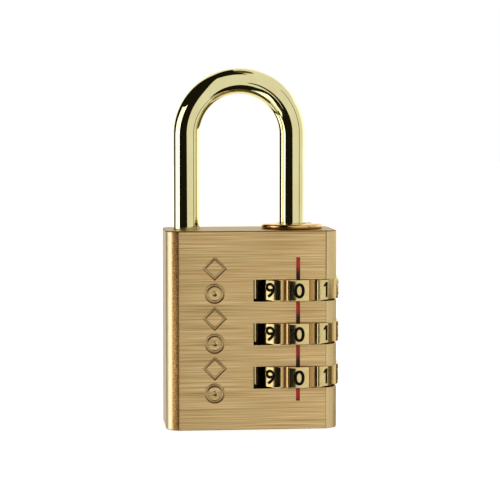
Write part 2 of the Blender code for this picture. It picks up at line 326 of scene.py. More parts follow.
def linished_skin(tree, place):
    """The belt's scratches: their colour and their pattern."""
    fine = streaks(tree, place, (16, 60, 0.11), detail=1.0)
    broad = streaks(tree, place, (30, 60, 0.5), detail=2.0)
    blotch = streaks(tree, place, (14, 60, 5), detail=2.0)
    scratches = add(tree, "ShaderNodeMix", {0: 0.10, 2: fine, 3: broad}, data_type="FLOAT")
    tone = add(tree, "ShaderNodeMix", {0: 0.14, 2: scratches, 3: blotch}, data_type="FLOAT")
    return mottled(tree, tone, 0.33, 0.67, "#B2905A", "#FAD99C"), fine


def drawn_skin(tree, place, x):
    """The satin grain, with the painted dark reflection and the painted highlight on the left: its colour and
    its pattern.
    """
    grain = streaks(tree, place, (0.16, 0.16, 0.20), detail=1.0, rough=0.5)
    satin = mottled(tree, grain, 0.3, 0.7, "#D1B782", "#DFC893")
    # Painted dark reflection: brown over the left corners where they mirror the black flag.
    dark_reflection = mottled(tree, grain, 0.42, 0.58, "#956631", "#D0A569")
    ragged = add(tree, "ShaderNodeMapRange", {0: grain, 1: 0.3, 2: 0.7, 3: -DARK_REFLECTION_RAGGED, 4: DARK_REFLECTION_RAGGED})
    wavering = add(tree, "ShaderNodeMath", {0: x, 1: ragged}, operation="ADD")
    strip = {0: wavering, 1: DARK_REFLECTION_MIDDLE, 2: DARK_REFLECTION_REACH}
    in_dark_reflection = add(tree, "ShaderNodeMath", strip, operation="COMPARE")
    colour = add(tree, "ShaderNodeMix", {0: in_dark_reflection, 6: satin, 7: dark_reflection}, data_type="RGBA")
    # Painted highlight: paler colour on the left side and the outer edge of the left corners.
    highlight_share = add(tree, "ShaderNodeMapRange", {0: x, 1: HIGHLIGHT_FROM, 2: HIGHLIGHT_TO})
    pale = {0: highlight_share, 6: colour, 7: linear("#CFBE98")}
    return add(tree, "ShaderNodeMix", pale, data_type="RGBA"), grain


print(f"linished flat {2000 * (half_width - CORNER):.1f} mm wide between corners of {1000 * CORNER:.1f} mm")

# %% [markdown]
# Painted shade and some darker marks lie over the two skins, each a mask worked out from where a point is.
# A painted dark line runs down the crease where each linished face meets its right corner, plainest near
# the top. Painted shade darkens the upward-facing lower wall of each rolled stroke, and paints the slots and
# bores almost black inside. The top is sawn and handled, so it is duller, and grime sits in its broken rim.

# %% Painted shade and grime on the block
# Painted shade: where the dark line along the right crease lies, and how it fades lower down.
CREASE_SHADE_X = half_width - 2.2 * MM
CREASE_SHADE_REACH = 0.07 * MM
CREASE_SHADE_FAINT_Z = 22 * MM
CREASE_SHADE_PLAIN_Z = 28 * MM
FADE = 0.1 * MM
STROKE_TOP = half_depth - 0.03 * MM
STROKE_FLOOR = half_depth - 0.40 * MM
RECESS_SHADE_RADIUS = CORNER - 0.24 * MM
# Painted shade: how far in from a corner's skin the slots and bores start to be painted dark.
SAWN_Z = top_z - 0.04 * MM
GRIME_Z = top_z - 0.11 * MM
GRIME_REACH = 0.09 * MM


# Painted shade: a thin dark line along the crease where the linished face meets the right corner.
def burr_line(tree, x, z):
    line = add(tree, "ShaderNodeMath", {0: x, 1: CREASE_SHADE_X, 2: CREASE_SHADE_REACH}, operation="COMPARE")
    plain = add(tree, "ShaderNodeMapRange", {0: z, 1: CREASE_SHADE_FAINT_Z, 2: CREASE_SHADE_PLAIN_Z, 3: 0.4, 4: 1.0})
    return add(tree, "ShaderNodeMath", {0: line, 1: plain}, operation="MULTIPLY")


# Painted shade: the lower wall of each rolled stroke, the wall that faces up, is painted darker.
def settled_dirt(tree, across, out):
    facing = add(tree, "ShaderNodeNewGeometry").outputs["Normal"]
    upward = add(tree, "ShaderNodeSeparateXYZ", {"Vector": facing}).outputs["Z"]
    mask = add(tree, "ShaderNodeMapRange", {0: upward, 1: -0.05, 2: 0.35})
    flat_end = half_width - CORNER
    limits = (
        (out, STROKE_TOP, STROKE_TOP - FADE / 2),
        (out, STROKE_FLOOR, STROKE_FLOOR + FADE),
        (across, flat_end, flat_end - FADE),
    )
    for distance, begins, full in limits:
        limit = add(tree, "ShaderNodeMapRange", {0: distance, 1: begins, 2: full})
        mask = add(tree, "ShaderNodeMath", {0: mask, 1: limit}, operation="MULTIPLY")
    return mask


# Painted shade: the slots and bores are painted almost black inside.
def old_oil(tree, across, out, z):
    """0 on the skin and 1 inside; past a corner's centre the depth is measured along its radius."""
    past = []
    for distance, half in ((across, half_width), (out, half_depth + LINISHED_AWAY)):
        inset = add(tree, "ShaderNodeMath", {0: distance, 1: half - CORNER}, operation="SUBTRACT")
        past.append(add(tree, "ShaderNodeMath", {0: inset, 1: 0.0}, operation="MAXIMUM"))
    corner = add(tree, "ShaderNodeCombineXYZ", {"X": past[0], "Y": past[1]})
    reach = add(tree, "ShaderNodeVectorMath", {0: corner}, operation="LENGTH")
    mask = add(tree, "ShaderNodeMapRange", {0: reach, 1: RECESS_SHADE_RADIUS, 2: RECESS_SHADE_RADIUS - FADE})
    for skin, inwards in ((top_z, -1), (0.0, 1)):
        ends = {0: z, 1: skin + inwards * 2 * FADE, 2: skin + inwards * 4 * FADE}
        limit = add(tree, "ShaderNodeMapRange", ends)
        mask = add(tree, "ShaderNodeMath", {0: mask, 1: limit}, operation="MULTIPLY")
    return mask


def rim_grime(tree, z):
    rim = add(tree, "ShaderNodeMath", {0: z, 1: GRIME_Z, 2: GRIME_REACH}, operation="COMPARE")
    return add(tree, "ShaderNodeMath", {0: rim, 1: 0.75}, operation="MULTIPLY")


# Painted shade: prints where the dark crease line is painted.
print(f"painted_crease line {1000 * CREASE_SHADE_X:.1f} mm right of the middle")

# %% [markdown]
# Brass mirrors with a warm yellow. The scratches and the grain roughen it, so that it spreads what it
# mirrors, and the same patterns raise a relief a few thousandths of a millimetre high.

# %% Brushed brass
def brushed_brass():
    material, tree, place = start_material("brushed_brass")
    axes = add(tree, "ShaderNodeSeparateXYZ", {"Vector": place}).outputs
    x, z = axes["X"], axes["Z"]
    across = add(tree, "ShaderNodeMath", {0: x}, operation="ABSOLUTE")
    out = add(tree, "ShaderNodeMath", {0: axes["Y"]}, operation="ABSOLUTE")
    belted = add(tree, "ShaderNodeMapRange", {0: out, 1: STROKE_TOP, 2: STROKE_TOP + FADE / 10})
    linished, scratches = linished_skin(tree, place)
    drawn, grain = drawn_skin(tree, place, x)
    colour = add(tree, "ShaderNodeMix", {0: belted, 6: drawn, 7: linished}, data_type="RGBA")
    # Painted shade inside the slots and bores, which also makes them rough.
    recess_shade = old_oil(tree, across, out, z)
    sawn_top = add(tree, "ShaderNodeMapRange", {0: z, 1: SAWN_Z, 2: SAWN_Z + FADE / 5})
    # Painted shade of the crease, the stroke walls and the slots and bores, then the duller sawn top and the
    # grime in its rim.
    darkening = (
        (burr_line(tree, x, z), "#4E3A1C"),
        (settled_dirt(tree, across, out), "#6A3E1A"),
        (recess_shade, "#1E1610"),
        (sawn_top, "#A68A50"),
        (rim_grime(tree, z), "#5A3C1C"),
    )
    for mask, code in darkening:
        colour = add(tree, "ShaderNodeMix", {0: mask, 6: colour, 7: linear(code)}, data_type="RGBA")
    satin = add(tree, "ShaderNodeMapRange", {0: grain, 1: 0.3, 2: 0.7, 3: 0.38, 4: 0.46})
    scratched = add(tree, "ShaderNodeMapRange", {0: scratches, 1: 0.3, 2: 0.7, 3: 0.32, 4: 0.42})
    skin_roughness = add(tree, "ShaderNodeMix", {0: belted, 2: satin, 3: scratched}, data_type="FLOAT")
    rough = add(tree, "ShaderNodeMix", {0: recess_shade, 2: skin_roughness, 3: 0.85}, data_type="FLOAT")
    pattern = add(tree, "ShaderNodeMix", {0: belted, 2: grain, 3: scratches}, data_type="FLOAT")
    surface(tree, colour, rough, pattern, 0.006)
    return material


brass_bar = brushed_brass()
print("made", brass_bar.name, "with", len(brass_bar.node_tree.nodes), "nodes")

# %% [markdown]
# ## Polished brass
# The wheels and the collar are turned from the same brass and polished. The polish leaves only faint
# marks, so they mirror what stands round them. A browner, rougher colour is painted shade in the hollows:
# on a wheel the floor of each groove, nearer its axis than the flats are, and on the collar round the leg.

# %% Polished brass
def polished_brass(name, light, dark, unshaded_radius, painted_shade_radius):
    material, tree, place = start_material(name)
    centred = add(tree, "ShaderNodeMapping", {"Vector": place, "Location": (-axis_x, 0, 0)})
    axes = add(tree, "ShaderNodeSeparateXYZ", {"Vector": centred}).outputs
    flat = add(tree, "ShaderNodeCombineXYZ", {"X": axes["X"], "Y": axes["Y"]})
    radius = add(tree, "ShaderNodeVectorMath", {0: flat}, operation="LENGTH")
    # Painted shade: a browner, rougher colour towards the axis, in the hollows.
    darkening = add(tree, "ShaderNodeMapRange", {0: radius, 1: unshaded_radius, 2: painted_shade_radius})
    smudge = streaks(tree, place, (1.2, 1.2, 1.2), detail=5.0, rough=0.7)
    marks = streaks(tree, place, (0.9, 0.9, 0.12))
    polish = mottled(tree, smudge, 0.35, 0.7, light, dark)
    colour = add(tree, "ShaderNodeMix", {0: darkening, 6: polish, 7: linear("#B58850")}, data_type="RGBA")
    buffed = add(tree, "ShaderNodeMapRange", {0: smudge, 1: 0.3, 2: 0.7, 3: 0.08, 4: 0.15})
    rough = add(tree, "ShaderNodeMix", {0: darkening, 2: buffed, 3: 0.34}, data_type="FLOAT")
    surface(tree, colour, rough, marks, 0.004)
    return material


wheel_brass = polished_brass("polished_wheel_brass", "#D8C58C", "#CBB274", 8.12 * MM, 7.80 * MM)
collar_brass = polished_brass("polished_collar_brass", "#D9B679", "#C79C5E", 2.9 * MM, 2.6 * MM)
print("made", wheel_brass.name, collar_brass.name)

# %% [markdown]
# ## Plated steel
# The shackle is hardened steel with a bright brass plate over nickel: paler and greener than solid brass,
# and close to a mirror. What gives it away as real is a very slight ripple in the reflections and a few
# hairline scuffs along the bar.

# %% Plated steel
def plated_steel():
    material, tree, place = start_material("brass_plated_steel")
    ripple = streaks(tree, place, (2.5, 2.5, 6.0), detail=2.0)
    scuffs = streaks(tree, place, (0.2, 0.2, 4.0))
    tint = mottled(tree, ripple, 0.35, 0.65, "#DDD6A2", "#D8CE98")
    rough = add(tree, "ShaderNodeMapRange", {0: scuffs, 1: 0.5, 2: 0.8, 3: 0.035, 4: 0.10})
    surface(tree, tint, rough, ripple, 0.006)
    return material


plate = plated_steel()
print("made", plate.name)

# %% [markdown]
# ## Turned brass and spring steel
# The sleeves and spacers inside the bore are left as the lathe leaves them, with fine rings round their
# axis. The springs and plungers are drawn carbon steel, grey and slightly oily.

# %% Turned brass and spring steel
def plain_metal(name, light, dark, grain_mm, roughness):
    material, tree, place = start_material(name)
    grain = streaks(tree, place, grain_mm, detail=4.0)
    spread = {0: grain, 1: 0.3, 2: 0.7, 3: roughness - 0.07, 4: roughness + 0.07}
    rough = add(tree, "ShaderNodeMapRange", spread)
    surface(tree, mottled(tree, grain, 0.0, 1.0, light, dark), rough, grain, 0.008)
    return material


lathe_brass = plain_metal("turned_brass", "#D8BC7A", "#B08F50", (6, 6, 0.08), 0.33)
wire_steel = plain_metal("spring_steel", "#9A9A9C", "#6E6E72", (0.3, 0.3, 0.3), 0.28)
print("made", lathe_brass.name, wire_steel.name)

# %% [markdown]
# ## Enamel
# The index line and the numbers are engraved and then filled with enamel paint, wiped level and baked.
# Paint isn't a metal, so its colour is its own and its gloss is white. Handling rubs it thin, and the red
# is made darker towards the low end of each stretch: above each wheel, so once in each wheel spacing.

# %% Enamel paints
def enamel(name, fresh, dull, size_mm, gloss, darkening=None):
    material, tree, place = start_material(name)
    wear = streaks(tree, place, size_mm, detail=4.0, rough=0.7)
    colour = mottled(tree, wear, 0.35, 0.65, fresh, dull)
    # The red is made darker towards the low end of each stretch, just above each wheel.
    if darkening:
        share = clean_stretch(tree, place)
        colour = add(tree, "ShaderNodeMix", {0: share, 6: linear(darkening), 7: colour}, data_type="RGBA")
    rough = add(tree, "ShaderNodeMapRange", {0: wear, 1: 0.3, 2: 0.7, 3: 0.37, 4: 0.53})
    surface(tree, colour, rough, wear, 0.01, strength=0.4, metal=0.0)
    tree.nodes["Principled BSDF"].inputs["Specular IOR Level"].default_value = gloss
    return material


def clean_stretch(tree, place):
    """0 just above a wheel and 1 from a little over half way to the next one."""
    height = add(tree, "ShaderNodeSeparateXYZ", {"Vector": place}).outputs["Z"]
    spacing = wheel_z["top"] - wheel_z["middle"]
    above = add(tree, "ShaderNodeMath", {0: height, 1: spacing - wheel_z["bottom"]}, operation="ADD")
    within = add(tree, "ShaderNodeMath", {0: above, 1: spacing}, operation="FLOORED_MODULO")
    return add(tree, "ShaderNodeMapRange", {0: within, 1: 0.38 * spacing, 2: 0.58 * spacing})


black_enamel = enamel("black_enamel", "#040302", "#0B0806", (0.3, 0.3, 0.3), 0.08)
red_enamel = enamel("red_enamel", "#A81F1C", "#861713", (0.5, 0.5, 0.6), 0.25, darkening="#260804")
print("made", black_enamel.name, red_enamel.name)

# %% [markdown]
# ## The block
# The bar is drawn with round corners and then linished on its two broad faces. The belt takes off a few
# hundredths, so the flat ends in a crisp line instead of running smoothly into the corner. Here a cube
# has its upright edges bevelled round, and bisect_plane trims the two broad faces as the belt does.

# %% Block of bar
RIM_BREAK = 0.22 * MM


def bar_stock():
    proud = half_depth + LINISHED_AWAY
    bm = block((-half_width, -proud, 0), (half_width, proud, top_z))
    upright = [e for e in bm.edges if abs(e.verts[0].co.z - e.verts[1].co.z) > top_z / 2]
    bmesh.ops.bevel(
        bm, geom=upright, offset=CORNER, segments=20, profile=0.5, affect="EDGES", material=-1
    )
    for side in (-1, 1):
        bmesh.ops.bisect_plane(
            bm, geom=bm.verts[:] + bm.edges[:] + bm.faces[:], plane_co=(0, side * half_depth, 0),
            plane_no=(0, side, 0), clear_outer=True,
        )
        bmesh.ops.holes_fill(bm, edges=[e for e in bm.edges if e.is_boundary])
    level = [e for e in bm.edges if abs(e.verts[0].co.z - e.verts[1].co.z) < 1e-6]
    rim = [e for e in level if any(abs(f.normal.z) > 0.9 for f in e.link_faces)]
    bmesh.ops.bevel(bm, geom=rim, offset=RIM_BREAK, segments=3, profile=0.5, affect="EDGES", material=-1)
    return into_mesh(bm)


# %% [markdown]
# The slots are milled from the right with a round cutter, so each one ends in an arc about the wheels'
# axis. The bore is drilled from the top and stops short of the bottom. A smaller hole takes the short leg,
# and each slot has a blind hole at its closed end for the spring-loaded plunger that clicks into a wheel.
# The red line's groove runs over the front between the slots.

# %% Slots, holes and the index groove
SLOT_HEIGHT = 3.86 * MM
SLOT_RADIUS = 10.5 * MM
BORE = 5.1 * MM
BORE_FLOOR = 3.0 * MM
LEG_HOLE = bar_radius + 0.14 * MM
LEG_HOLE_FLOOR = 28.4 * MM
PLUNGER_HOLE = 1.05 * MM
PLUNGER_HOLE_END = -9.0 * MM
INDEX_X = 7.9 * MM
INDEX_WIDTH = 0.7 * MM
INDEX_DEPTH = 0.25 * MM
INDEX_BOTTOM, INDEX_TOP = 5.0 * MM, 30.1 * MM
OVER = 2.0 * MM


def machining():
    tools = []
    for height in wheel_z.values():
        tools.append(moved(rod(SLOT_RADIUS, -SLOT_HEIGHT / 2, SLOT_HEIGHT / 2, 240), axis_x, 0, height))
        across = Matrix.Rotation(math.pi / 2, 4, "Y")
        tools.append(moved(rod(PLUNGER_HOLE, PLUNGER_HOLE_END, 0, 48), 0, 0, height, turn=across))
    tools.append(moved(rod(BORE, BORE_FLOOR, top_z + OVER, 128), axis_x, 0, 0))
    tools.append(moved(rod(LEG_HOLE, LEG_HOLE_FLOOR, top_z + OVER, 96), toe_x, 0, 0))
    return tools


def index_groove():
    front = -half_depth
    low = (INDEX_X - INDEX_WIDTH / 2, front - OVER, INDEX_BOTTOM)
    return into_mesh(block(low, (INDEX_X + INDEX_WIDTH / 2, front + INDEX_DEPTH, INDEX_TOP)))


# %% [markdown]
# A plain ornament is rolled into the left of the front: a column of rings and lozenges, each a groove
# with a round floor, and a dot in each ring. A small circle spun about the middle of a figure sweeps such a
# groove. In 48 steps it makes a ring, and in only 4 steps it makes a square frame, which stands on its point
# as a lozenge.

# %% Rolled ornament
ORNAMENT_X = -6.65 * MM
ORNAMENT_LOW, ORNAMENT_HIGH = 4.3 * MM, 30.4 * MM
FIGURES = 6
GROOVE_RADIUS = 0.36 * MM
GROOVE_DEPTH = 0.22 * MM
DOT_RADIUS = 2 * GROOVE_RADIUS
RING_SHARE = 0.8


def swept_figure(reach, steps):
    bm = bmesh.new()
    start = Matrix.Translation((reach, 0, 0))
    circle = bmesh.ops.create_circle(bm, segments=16, radius=GROOVE_RADIUS, matrix=start)["verts"]
    bmesh.ops.spin(
        bm, geom=circle + bm.edges[:], axis=(0, 1, 0), cent=(0, 0, 0), angle=math.tau, steps=steps,
        use_merge=True,
    )
    return bm


def ornament():
    pitch = (ORNAMENT_HIGH - ORNAMENT_LOW) / FIGURES
    reach = pitch / 2 - GROOVE_RADIUS
    level = -half_depth - GROOVE_RADIUS + GROOVE_DEPTH
    tools = []
    for i in range(FIGURES):
        middle = ORNAMENT_HIGH - (i + 0.5) * pitch
        lozenge = i % 2 == 0
        figure = swept_figure(reach if lozenge else reach * RING_SHARE, 4 if lozenge else 48)
        tools.append(moved(figure, ORNAMENT_X, level, middle))
        if not lozenge:
            dot = bmesh.new()
            bmesh.ops.create_uvsphere(dot, u_segments=32, v_segments=16, radius=DOT_RADIUS)
            tools.append(moved(dot, ORNAMENT_X, GROOVE_DEPTH - half_depth - DOT_RADIUS, middle))
    return tools


# %% [markdown]
# The machined edges are broken first, and the line and the ornament are cut after that, so that their own
# edges stay crisp.

# %% Cut the block
EDGE_BREAK = 0.09 * MM
block_mesh = break_edges(carve(bar_stock(), machining()), EDGE_BREAK)
block_mesh = carve(block_mesh, [index_groove()] + ornament())
finish("brass_block", block_mesh, brass_bar, "case", ["body"])

# %% [markdown]
# ## The red index line
# Enamel fills the groove almost to the brim. It is one strip for each stretch of front that the slots
# leave, set a few hundredths below the brass.

# %% Red strips
ENAMEL_BELOW = 0.07 * MM


def index_strips():
    heights = sorted(wheel_z.values())
    lows = [INDEX_BOTTOM] + [z + SLOT_HEIGHT / 2 for z in heights]
    highs = [z - SLOT_HEIGHT / 2 for z in heights] + [INDEX_TOP]
    front = -half_depth
    bm = bmesh.new()
    for low, high in zip(lows, highs):
        strip = block(
            (INDEX_X - INDEX_WIDTH / 2, front + ENAMEL_BELOW, low),
            (INDEX_X + INDEX_WIDTH / 2, front + INDEX_DEPTH, high),
        )
        bm.from_mesh(into_mesh(strip))
    return into_mesh(bm)


finish("index_enamel", index_strips(), red_enamel, "case")

# %% [markdown]
# ## The shackle
# A bar is bent into a half circle with two straight legs. In Blender a circle spun half a turn makes the
# bend, and its two open rims are extruded down to make the legs. Each leg narrows in two steps at its end.
# The long leg has three fins, one for each wheel, and a hole up its end for the spring.

# %% Bent bar with fins
TOE_INSERTION = 5.7 * MM
FIN_REACH = 3.1 * MM
FIN_WIDTH = 1.2 * MM
FIN_HEIGHT = 1.6 * MM
FIN_TOP = 0.6 * MM
FIN_EDGE = 0.12 * MM
SPRING_HOLE = 1.6 * MM
SPRING_HOLE_DEPTH = 13.0 * MM
# Height above a leg's end, and the share of the bar's radius that is left there.
LEG_END = ((0.45 * MM, 1.0), (0.12 * MM, 0.92), (0.0, 0.78))


def bent_bar():
    bm = bmesh.new()
    right = Matrix.Translation((axis_x, 0, arch_z))
    circle = bmesh.ops.create_circle(bm, segments=64, radius=bar_radius, matrix=right)["verts"]
    heel_rim = bm.edges[:]
    middle = axis_x - arch_radius
    bend = bmesh.ops.spin(
        bm, geom=circle + heel_rim, axis=(0, -1, 0), cent=(middle, 0, arch_z), angle=math.pi, steps=96
    )
    toe_rim = picked(bend["geom_last"], bmesh.types.BMEdge)
    legs = ((heel_rim, axis_x, bar_low.z), (toe_rim, toe_x, top_z - TOE_INSERTION))
    for rim, leg_x, end in legs:
        for rise, share in LEG_END:
            grown = bmesh.ops.extrude_edge_only(bm, edges=rim)["geom"]
            rim = picked(grown, bmesh.types.BMEdge)
            verts = picked(grown, bmesh.types.BMVert)
            size = max(Vector((v.co.x - leg_x, v.co.y)).length for v in verts)
            shrink = share * bar_radius / size
            for vert in verts:
                vert.co = (leg_x + (vert.co.x - leg_x) * shrink, vert.co.y * shrink, end + rise)
    bmesh.ops.holes_fill(bm, edges=[e for e in bm.edges if e.is_boundary])
    return into_mesh(bm)


def fin(height):
    top = height + FIN_TOP
    root = axis_x - (bar_radius + SPRING_HOLE) / 2
    low = (axis_x - FIN_REACH, -FIN_WIDTH / 2, top - FIN_HEIGHT)
    return break_edges(into_mesh(block(low, (root, FIN_WIDTH / 2, top))), FIN_EDGE)


bar = carve(bent_bar(), [fin(height) for height in wheel_z.values()], "UNION")
spring_hole = moved(rod(SPRING_HOLE, -OVER, SPRING_HOLE_DEPTH, 64), axis_x, 0, bar_low.z)
bar = carve(bar, [spring_hole])
finish("bent_shackle", bar, plate, "shackle", ["shackle"])

# %% [markdown]
# ## The collar bushing
# A flanged bushing closes the bore round the long leg. It is turned, so half its section is drawn and spun.
# The flange has a full round rim, made with a short arc of points. A keyway in it lets the fins through
# when the lock is put together, before the bushing is given half a turn and pressed home.

# %% Collar bushing
BUSHING_DEPTH = 1.9 * MM
KEYWAY_REACH = 3.5 * MM
KEYWAY_WIDTH = 1.7 * MM
COLLAR_CLEARANCE = 0.12 * MM
COLLAR_CHAMFER = 0.15 * MM


def collar_section():
    inside = bar_radius + COLLAR_CLEARANCE
    rim = collar_high.x - axis_x
    low, high = top_z + 0.01 * MM, collar_high.z
    round_radius = (high - low) / 2
    centre = rim - round_radius
    arc = [math.radians(a) for a in range(-90, 91, 15)]
    edge = [(centre + round_radius * math.cos(a), low + round_radius * (1 + math.sin(a))) for a in arc]
    foot = top_z - BUSHING_DEPTH
    barrel = BORE - 0.02 * MM
    start = [(inside, foot), (barrel, foot), (barrel, low)]
    return start + edge + [(inside + COLLAR_CHAMFER, high), (inside, high - COLLAR_CHAMFER)]


keyway = into_mesh(
    block(
        (axis_x + bar_radius / 2, -KEYWAY_WIDTH / 2, top_z - OVER - BUSHING_DEPTH),
        (axis_x + KEYWAY_REACH, KEYWAY_WIDTH / 2, collar_high.z + OVER),
    )
)
collar_mesh = carve(moved(turned(collar_section(), 160), axis_x, 0, 0), [keyway])
finish("turned_collar", collar_mesh, collar_brass, "case", ["collar_bushing"])

# %% [markdown]
# ## The number wheels
# A wheel is a turned ring with ten flats, slightly crowned by polishing, and a round-bottomed groove
# between each two, where the plunger clicks in and a thumb finds grip. The outline follows a rule: how far
# the rim is from the axis at each angle. So a plain circle is drawn, each of its points is moved in or out
# by that rule, and the outline is extruded upwards.

# %% Wheel blanks
WHEEL_THICKNESS = 3.72 * MM
WHEEL_REACH = 8.37 * MM
FLAT_APOTHEM = 8.15 * MM
CROWN = 0.95
GROOVE_HALF_ANGLE = math.radians(6.0)
GROOVE_BEND = math.radians(66)
NUMBERS = 10
POINTS_PER_NUMBER = 60
WHEEL_TURN = math.radians(2.0)
WHEEL_BORE = 4.75 * MM
WHEEL_EDGE = 0.12 * MM
CROWN_TOP = FLAT_APOTHEM + CROWN * (WHEEL_REACH - FLAT_APOTHEM)


def rim_distance(angle):
    """How far the rim lies from the axis; angle 0 is the middle of a flat."""
    step = math.tau / NUMBERS
    from_flat = (angle + step / 2) % step - step / 2
    into_groove = abs(from_flat) - (step / 2 - GROOVE_HALF_ANGLE)
    if into_groove > 1e-6:
        # A round cutter leaves an arc whose wall starts off at the angle GROOVE_BEND.
        half_groove = WHEEL_REACH * math.sin(GROOVE_HALF_ANGLE)
        radius = half_groove / math.sin(GROOVE_BEND)
        across = half_groove * (1 - into_groove / GROOVE_HALF_ANGLE)
        return WHEEL_REACH - (math.sqrt(radius * radius - across * across) - radius * math.cos(GROOVE_BEND))
    straight = FLAT_APOTHEM / math.cos(from_flat)
    return straight + CROWN * (WHEEL_REACH - straight)


def wheel_blank():
    """The outline, extruded in steps that draw it in a little towards both faces.

    The last step before the middle keeps the shading of the rounded edge from spreading over a flat.
    """
    half = WHEEL_THICKNESS / 2
    steps = ((0.0, 1.0), (0.3, 0.3), (1.0, 0.0), (1.6, 0.0))
    levels = [(rise * WHEEL_EDGE - half, drawn_in * WHEEL_EDGE) for rise, drawn_in in steps]
    levels += [(-level, drawn_in) for level, drawn_in in reversed(levels)]
    bm = bmesh.new()
    bmesh.ops.create_circle(bm, cap_ends=True, segments=NUMBERS * POINTS_PER_NUMBER, radius=1.0)
    face = bm.faces[:][0]
    for level, drawn_in in levels:
        for vert in face.verts:
            angle = math.atan2(vert.co.y, vert.co.x)
            reach = rim_distance(angle) - drawn_in
            vert.co = (reach * math.cos(angle), reach * math.sin(angle), level)
        if level < half:
            grown = bmesh.ops.extrude_face_region(bm, geom=[face, *face.edges])["geom"]
            face = picked(grown, bmesh.types.BMFace)[0]
    return into_mesh(bm)


# %% [markdown]
# The numbers are engraved with a pointed cutter, so their walls slope, and then filled. Text is a curve in
# Blender: its bevel gives the slope, and it is made a mesh before it is placed on its flat. The built-in
# font draws 1 as a bare bar, so that figure gets its flag from a small polygon. What lies inside a
# slightly smaller cylinder becomes the enamel, because the wheel is wiped after filling.

# %% Engraved numbers
NUMBER_HEIGHT = 2.68 * MM
NUMBER_WIDTH = 1.98 * MM
NUMBER_DEPTH = 0.24 * MM
ENAMEL_SUNK = 0.11 * MM
STROKE_SWELL = -0.012
WALL_SLOPE = 0.04
FLAG_REACH = 0.9
FLAG_DROP = 0.14
FLAG_THICK = 0.09
NOTCH_WIDTH = 2.0 * MM
NOTCH_FROM = 4.0 * MM
NOTCH_TO = 5.4 * MM


def figure_mesh(text):
    """A figure as a closed solid 1 high and up to 1 wide, whose walls slope in towards z = 0."""
    curve = bpy.data.curves.new("figure", "FONT")
    curve.body = text
    curve.offset = STROKE_SWELL
    curve.extrude = 0.1
    curve.bevel_depth = WALL_SLOPE
    curve.bevel_resolution = 0
    curve.resolution_u = 6
    letter = bpy.data.objects.new("figure", curve)
    bpy.context.scene.collection.objects.link(letter)
    mesh = as_seen(letter)
    bpy.data.objects.remove(letter)
    if text == "1":
        mesh = carve(mesh, [flag_of_one(mesh)], "UNION")
    bm = bmesh.new()
    bm.from_mesh(mesh)
    bmesh.ops.remove_doubles(bm, verts=bm.verts, dist=1e-5)
    return bm


def flag_of_one(bar):
    """The slanted stroke at the head of a 1."""
    left = min(v.co.x for v in bar.vertices)
    right = max(v.co.x for v in bar.vertices)
    head = max(v.co.y for v in bar.vertices)
    thick = max(v.co.z for v in bar.vertices)
    tip = left - FLAG_REACH * (right - left)
    low = head - FLAG_DROP
    outline = ((right, head), (left, head), (tip, low), (tip, low - FLAG_THICK), (right, low))
    bm = bmesh.new()
    face = bm.faces.new([bm.verts.new((x, y, -thick)) for x, y in outline])
    grown = bmesh.ops.extrude_face_region(bm, geom=[face])["geom"]
    bmesh.ops.translate(bm, vec=(0, 0, 2 * thick), verts=picked(grown, bmesh.types.BMVert))
    return into_mesh(bm)


def numbers():
    """All ten figures round one wheel, reaching from the floor of the engraving out into the air."""
    joined = bmesh.new()
    for number in range(NUMBERS):
        bm = figure_mesh(str(number))
        low = Vector([min(v.co[i] for v in bm.verts) for i in range(3)])
        high = Vector([max(v.co[i] for v in bm.verts) for i in range(3)])
        width = NUMBER_WIDTH * (0.5 if number == 1 else 1.0)
        depth = NUMBER_DEPTH / WALL_SLOPE
        size = Matrix.Diagonal((width / (high.x - low.x), NUMBER_HEIGHT / (high.y - low.y), depth, 1))
        centre = Matrix.Translation((-(high.x + low.x) / 2, -(high.y + low.y) / 2, -low.z))
        stand = Matrix.Translation((0, NUMBER_DEPTH - CROWN_TOP, 0)) @ Matrix.Rotation(math.pi / 2, 4, "X")
        turn = Matrix.Rotation(number * math.tau / NUMBERS + WHEEL_TURN, 4, "Z")
        bm.transform(turn @ stand @ size @ centre)
        joined.from_mesh(into_mesh(bm))
    mesh = bpy.data.meshes.new("figures")
    joined.to_mesh(mesh)
    joined.free()
    return mesh


def key_notches():
    """Ten notches in the bore, any of which can take the sleeve's key when the code is changed."""
    tools = [into_mesh(rod(WHEEL_BORE, -WHEEL_THICKNESS, WHEEL_THICKNESS, 128))]
    low = (-NOTCH_WIDTH / 2, -NOTCH_TO, -WHEEL_THICKNESS)
    high = (NOTCH_WIDTH / 2, -NOTCH_FROM, WHEEL_THICKNESS)
    for number in range(NUMBERS):
        notch = block(low, high)
        notch.transform(Matrix.Rotation(number * math.tau / NUMBERS, 4, "Z"))
        tools.append(into_mesh(notch))
    return tools


# %% [markdown]
# One blank is turned to where it rests, engraved and filled, and then copied to the three heights. Each
# copy rides on its own wheel body, so that it turns alone.

# %% Cut and fill the wheels
blank = carve(wheel_blank(), key_notches())
blank.transform(Matrix.Rotation(WHEEL_TURN - math.pi / 2, 4, "Z"))
figures = numbers()
wheel_mesh = carve(blank, [figures], crossing=True)
wiped = into_mesh(rod(CROWN_TOP - ENAMEL_SUNK, -WHEEL_THICKNESS, WHEEL_THICKNESS, 360))
fill_mesh = carve(figures, [wiped], "INTERSECT", crossing=True)
for name, height in wheel_z.items():
    here = Matrix.Translation((axis_x, 0, height))
    for title, mesh, material, slot, nodes in (
        ("grooved_wheel", wheel_mesh, wheel_brass, "polished_brass", [f"number_wheel_{name}"]),
        ("number_enamel", fill_mesh, black_enamel, "number_paint", []),
    ):
        copy = mesh.copy()
        copy.transform(here)
        finish(f"{title}_{name}", copy, material, f"wheel_{name}", nodes)

